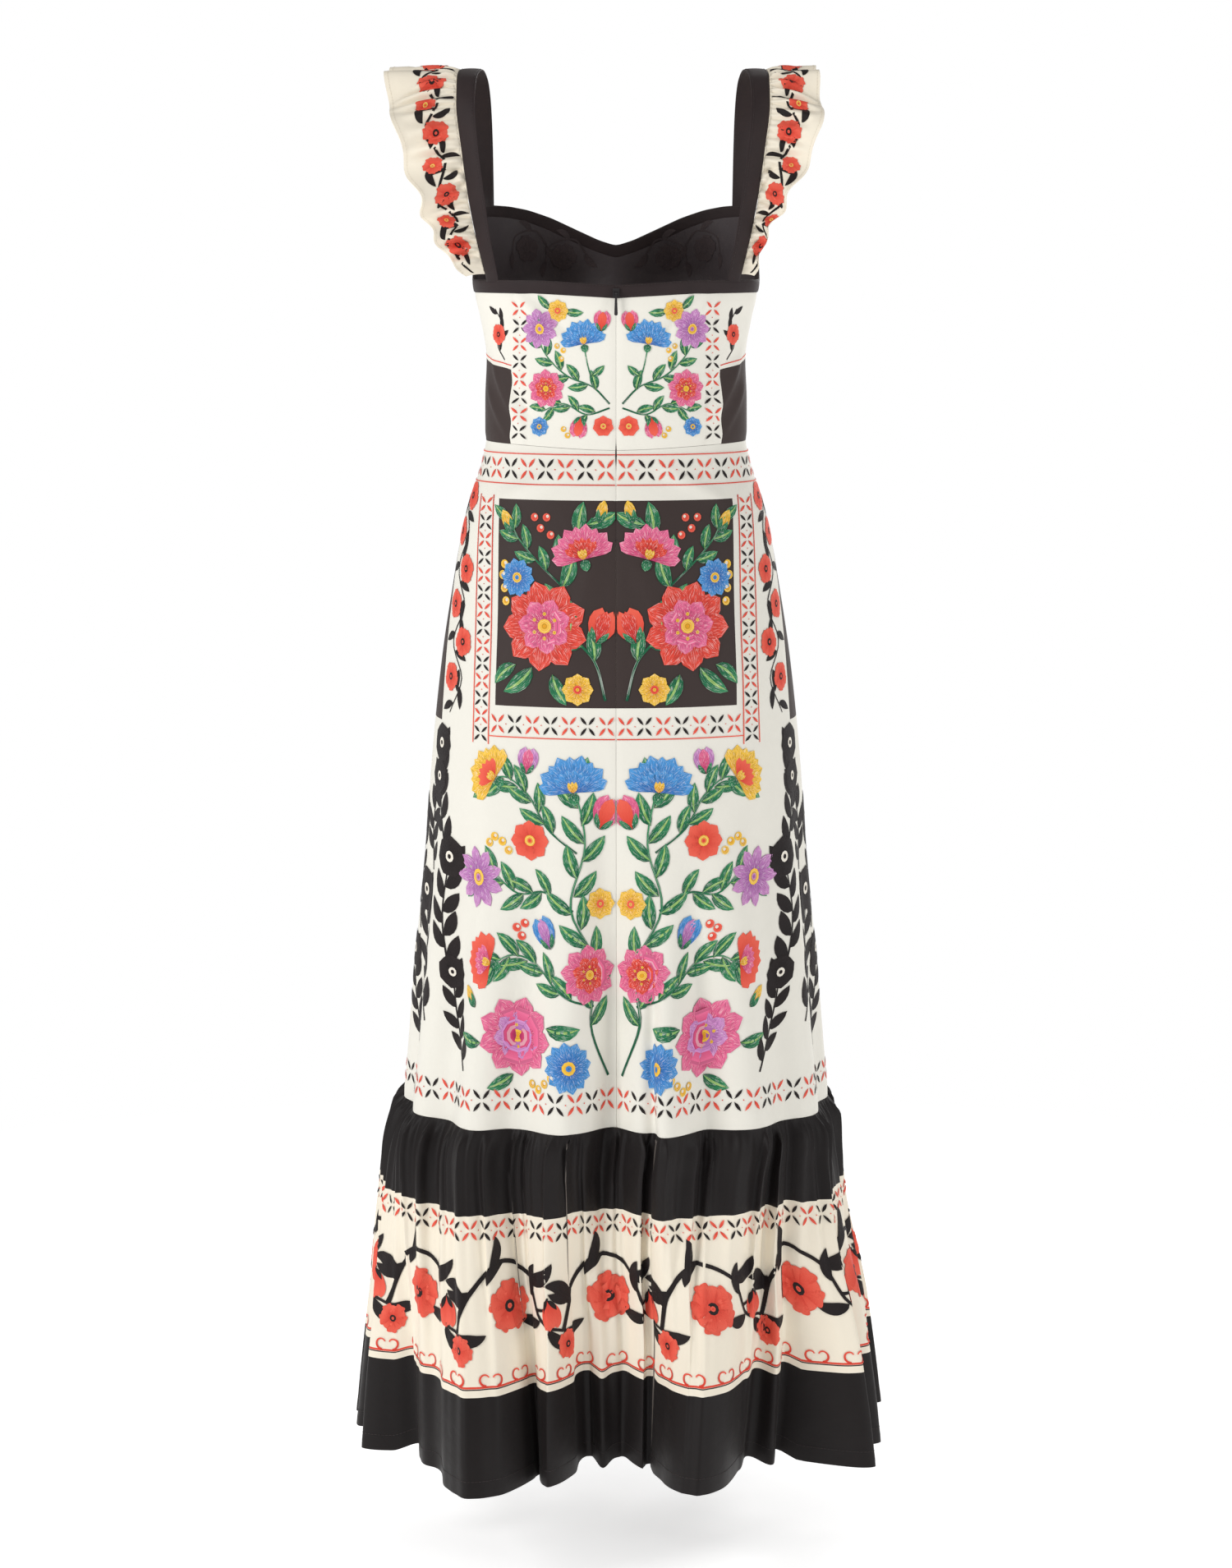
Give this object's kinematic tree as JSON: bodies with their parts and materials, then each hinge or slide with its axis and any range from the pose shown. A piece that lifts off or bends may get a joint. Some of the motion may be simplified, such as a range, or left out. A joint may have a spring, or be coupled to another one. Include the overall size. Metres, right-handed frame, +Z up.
{
  "type": "sleeveless long cotton dress with ruffled straps and a gathered hem tier",
  "caption": "Sleeveless long dress: fitted bodice with sweetheart neck and ruffled straps, back zip, A-line skirt and gathered hem tier.",
  "frame": {"origin": "midway between the crests of the two straps, where the wearer's shoulders carry the dress", "axes": "+Z up, +Y to the wearer's front, +X to the wearer's right; the dress hangs down along -Z"},
  "size_m": [0.5243, 0.4639, 1.3297],
  "materials": {
    "printed_cotton": "matte cotton sateen with a floral print",
    "tier_cotton": "cotton sateen with a black and cream border print",
    "ruffle_cotton": "cotton sateen with a flower border",
    "black_cotton": "matte cotton",
    "black_lining": "smooth lining",
    "zip_metal": "dark enamel"
  },
  "bodies": {
    "dress": {"back_bodice_left": "printed_cotton", "back_bodice_right": "printed_cotton", "front_bodice": "printed_cotton", "front_lining": "black_lining", "back_band_left": "black_cotton", "back_band_right": "black_cotton", "front_band": "black_cotton", "strap_left": "black_cotton", "strap_right": "black_cotton", "strap_ruffle_left": "ruffle_cotton", "strap_ruffle_right": "ruffle_cotton", "skirt_back_left": "printed_cotton", "skirt_back_right": "printed_cotton", "skirt_front": "printed_cotton", "tier_back": "tier_cotton", "tier_front": "tier_cotton", "zip_tape": "black_lining", "zip_slider": "zip_metal"},
    "pull_tab": {"zip_pull": "zip_metal"}
  },
  "joints": [
    {"name": "pull_swing", "type": "hinge", "parent": "dress", "child": "pull_tab", "pos_m": [0, -0.10263, -0.2085], "axis": [-1, 0, 0], "range_deg": [0, 170]}
  ]
}
